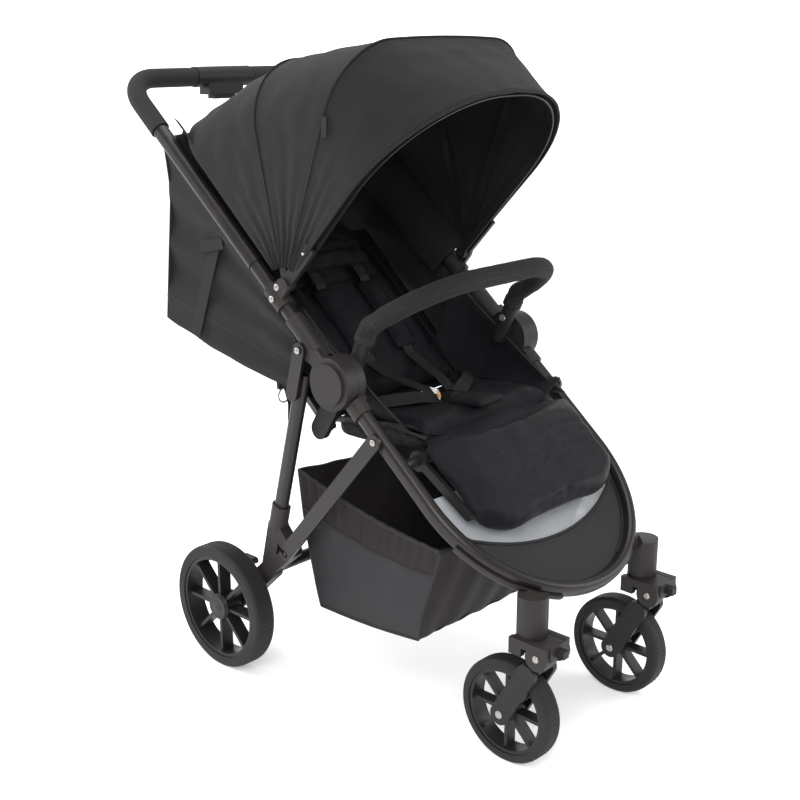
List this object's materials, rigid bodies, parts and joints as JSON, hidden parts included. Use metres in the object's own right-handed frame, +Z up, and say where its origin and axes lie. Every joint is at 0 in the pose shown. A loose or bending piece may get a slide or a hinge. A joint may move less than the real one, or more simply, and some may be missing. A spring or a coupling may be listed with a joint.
{
  "type": "baby stroller",
  "caption": "Folding baby stroller with a reclining padded seat, jointed canopy, bumper bar, legrest, storage basket and swivelling front wheels.",
  "frame": {"origin": "on the ground, in the middle of the stroller's length and width", "axes": "+Z up, the seat faces -Y, +X is the seated child's left"},
  "size_m": [0.548, 0.9554, 1.0909],
  "materials": {
    "frame_steel": "satin anodised black-brown tube",
    "housing": "satin moulded nylon",
    "black_plastic": "fine textured",
    "rim": "moulded satin gloss",
    "tyre": "foam-filled rubber with a fine tread",
    "foam": "closed-cell foam",
    "bare_steel": "zinc plated",
    "silver": "silver painted",
    "canopy_cloth": "plain weave polyester",
    "seat_cloth": "satin coated polyester",
    "basket_cloth": "woven cloth with mesh sides",
    "footrest_cloth": "charcoal woven cloth",
    "grey_mesh": "open knitted mesh"
  },
  "bodies": {
    "front_frame": {"front_loop": "frame_steel", "hub_bases": "housing", "caster_mount_left": "housing", "caster_mount_right": "housing", "seat_crossbar": "bare_steel", "seat_mounts": "black_plastic", "seat_cushion": "seat_cloth", "footrest_panel": "footrest_cloth", "front_mesh": "grey_mesh", "basket": "basket_cloth", "buckle": "black_plastic"},
    "buckle_button": {"buckle_button": "black_plastic"},
    "handle": {"hub_cover_left": "housing", "hub_cover_right": "housing", "handle_tube": "frame_steel", "grips": "foam", "handle_sleeve": "black_plastic", "canopy_clamps": "housing", "back_curtain": "canopy_cloth"},
    "fold_trigger": {"fold_trigger": "black_plastic"},
    "rib_rear": {"rib_rear": "black_plastic", "canopy_rear": "canopy_cloth"},
    "rib_middle": {"rib_middle": "black_plastic", "canopy_middle": "canopy_cloth"},
    "rib_front": {"rib_front": "black_plastic", "canopy_front": "canopy_cloth"},
    "rear_leg": {"rear_leg_left": "frame_steel", "rear_leg_right": "frame_steel", "rear_bracket_left": "housing", "rear_bracket_right": "housing", "rear_crossbar": "frame_steel"},
    "brake_pedal": {"brake_pedal": "black_plastic"},
    "rear_wheel_left": {"rear_rim_left": "rim", "rear_tyre_left": "tyre"},
    "rear_wheel_right": {"rear_rim_right": "rim", "rear_tyre_right": "tyre"},
    "front_wheel_left": {"front_rim_left": "rim", "front_tyre_left": "tyre"},
    "front_wheel_right": {"front_rim_right": "rim", "front_tyre_right": "tyre"},
    "brace": {"brace_left": "frame_steel", "brace_right": "frame_steel"},
    "caster_left": {"caster_left": "housing"},
    "caster_right": {"caster_right": "housing"},
    "fork_left": {"fork_left": "black_plastic"},
    "fork_right": {"fork_right": "black_plastic"},
    "swivel_lock_left": {"swivel_lock_left": "black_plastic"},
    "swivel_lock_right": {"swivel_lock_right": "black_plastic"},
    "seat_link": {"seat_link": "bare_steel"},
    "backrest": {"backrest_frame": "bare_steel", "backrest_pad": "seat_cloth", "headrest": "seat_cloth", "shoulder_pads": "seat_cloth"},
    "legrest": {"legrest_arms": "black_plastic", "legrest_pad": "seat_cloth"},
    "bumper": {"bumper_bar": "canopy_cloth", "bumper_ends": "black_plastic"},
    "bumper_button_left": {"bumper_button_left": "silver"},
    "bumper_button_right": {"bumper_button_right": "silver"}
  },
  "joints": [
    {"name": "fold", "type": "hinge", "parent": "front_frame", "child": "handle", "pos_m": [0, -0.07983, 0.56698], "axis": [1, 0, 0], "range_deg": [-115, 0], "deforming": ["back_curtain", "basket", "canopy_rear", "canopy_middle", "canopy_front", "front_mesh"]},
    {"name": "brace_fold", "type": "hinge", "parent": "front_frame", "child": "brace", "pos_m": [0, -0.17028, 0.49082], "axis": [1, 0, 0], "range_deg": [-64, 0]},
    {"name": "leg_fold", "type": "hinge", "parent": "handle", "child": "rear_leg", "pos_m": [0, -0.00803, 0.60914], "axis": [1, 0, 0], "range_deg": [0, 72]},
    {"name": "rear_wheel_left_spin", "type": "hinge", "parent": "rear_leg", "child": "rear_wheel_left", "pos_m": [0.254, 0.18326, 0.1125], "axis": [1, 0, 0], "continuous": true},
    {"name": "rear_wheel_right_spin", "type": "hinge", "parent": "rear_leg", "child": "rear_wheel_right", "pos_m": [-0.254, 0.18326, 0.1125], "axis": [1, 0, 0], "continuous": true},
    {"name": "brake_press", "type": "hinge", "parent": "rear_leg", "child": "brake_pedal", "pos_m": [-0.2, 0.14924, 0.15188], "axis": [-1, 0, 0], "range_deg": [0, 18]},
    {"name": "caster_left_swivel", "type": "hinge", "parent": "front_frame", "child": "caster_left", "pos_m": [0.15, -0.42074, 0.22828], "axis": [0, 0, 1], "continuous": true},
    {"name": "suspension_left", "type": "hinge", "parent": "caster_left", "child": "fork_left", "pos_m": [0.15, -0.45074, 0.20428], "axis": [1, 0, 0], "range_deg": [0, 8], "stiffness_Nm_per_rad": 60, "springref_deg": -2.86},
    {"name": "front_wheel_left_spin", "type": "hinge", "parent": "fork_left", "child": "front_wheel_left", "pos_m": [0.15, -0.38374, 0.0855], "axis": [1, 0, 0], "continuous": true},
    {"name": "swivel_lock_left_slide", "type": "slide", "parent": "caster_left", "child": "swivel_lock_left", "axis": [0, -1, 0], "range_m": [0, 0.004]},
    {"name": "bumper_button_left_press", "type": "slide", "parent": "bumper", "child": "bumper_button_left", "axis": [1, 0, 0], "range_m": [0, 0.002], "stiffness_N_per_m": 400, "springref_m": -0.002},
    {"name": "caster_right_swivel", "type": "hinge", "parent": "front_frame", "child": "caster_right", "pos_m": [-0.15, -0.42074, 0.22828], "axis": [0, 0, 1], "continuous": true},
    {"name": "suspension_right", "type": "hinge", "parent": "caster_right", "child": "fork_right", "pos_m": [-0.15, -0.45074, 0.20428], "axis": [1, 0, 0], "range_deg": [0, 8], "stiffness_Nm_per_rad": 60, "springref_deg": -2.86},
    {"name": "front_wheel_right_spin", "type": "hinge", "parent": "fork_right", "child": "front_wheel_right", "pos_m": [-0.15, -0.38374, 0.0855], "axis": [1, 0, 0], "continuous": true},
    {"name": "swivel_lock_right_slide", "type": "slide", "parent": "caster_right", "child": "swivel_lock_right", "axis": [0, -1, 0], "range_m": [0, 0.004]},
    {"name": "bumper_button_right_press", "type": "slide", "parent": "bumper", "child": "bumper_button_right", "axis": [-1, 0, 0], "range_m": [0, 0.002], "stiffness_N_per_m": 400, "springref_m": -0.002},
    {"name": "seat_link_fold", "type": "hinge", "parent": "front_frame", "child": "seat_link", "pos_m": [0, -0.01179, 0.46998], "axis": [1, 0, 0], "range_deg": [-70, 0]},
    {"name": "recline", "type": "hinge", "parent": "seat_link", "child": "backrest", "pos_m": [0, -0.01179, 0.46998], "axis": [1, 0, 0], "range_deg": [-32, 18], "deforming": ["back_curtain", "backrest_pad"]},
    {"name": "legrest_raise", "type": "hinge", "parent": "front_frame", "child": "legrest", "pos_m": [0, -0.21072, 0.45677], "axis": [-1, 0, 0], "range_deg": [0, 40]},
    {"name": "bumper_pull_off", "type": "slide", "parent": "front_frame", "child": "bumper", "axis": [0, -0.4115, 0.9114], "range_m": [0, 0.06]},
    {"name": "buckle_press", "type": "slide", "parent": "front_frame", "child": "buckle_button", "axis": [0, 0, -1], "range_m": [0, 0.002], "stiffness_N_per_m": 400, "springref_m": -0.002},
    {"name": "fold_trigger_squeeze", "type": "slide", "parent": "handle", "child": "fold_trigger", "axis": [0, 0, 1], "range_m": [0, 0.006], "stiffness_N_per_m": 500, "springref_m": -0.003},
    {"name": "canopy_rear_turn", "type": "hinge", "parent": "handle", "child": "rib_rear", "pos_m": [0, 0.03811, 0.70499], "axis": [-1, 0, 0], "range_deg": [0, 28], "deforming": ["canopy_rear", "canopy_middle", "canopy_front"]},
    {"name": "canopy_middle_turn", "type": "hinge", "parent": "rib_rear", "child": "rib_middle", "pos_m": [0, 0.03811, 0.70499], "axis": [-1, 0, 0], "range_deg": [0, 28]},
    {"name": "canopy_front_turn", "type": "hinge", "parent": "rib_middle", "child": "rib_front", "pos_m": [0, 0.03811, 0.70499], "axis": [-1, 0, 0], "range_deg": [0, 18.2]}
  ],
  "couplings": [
    {"joint": "brace_fold", "follows": "fold", "ratio": 0.545},
    {"joint": "leg_fold", "follows": "fold", "ratio": -0.61},
    {"joint": "seat_link_fold", "follows": "fold", "ratio": 0.6},
    {"joint": "canopy_middle_turn", "follows": "canopy_rear_turn", "ratio": 1},
    {"joint": "canopy_front_turn", "follows": "canopy_rear_turn", "ratio": 0.65}
  ]
}
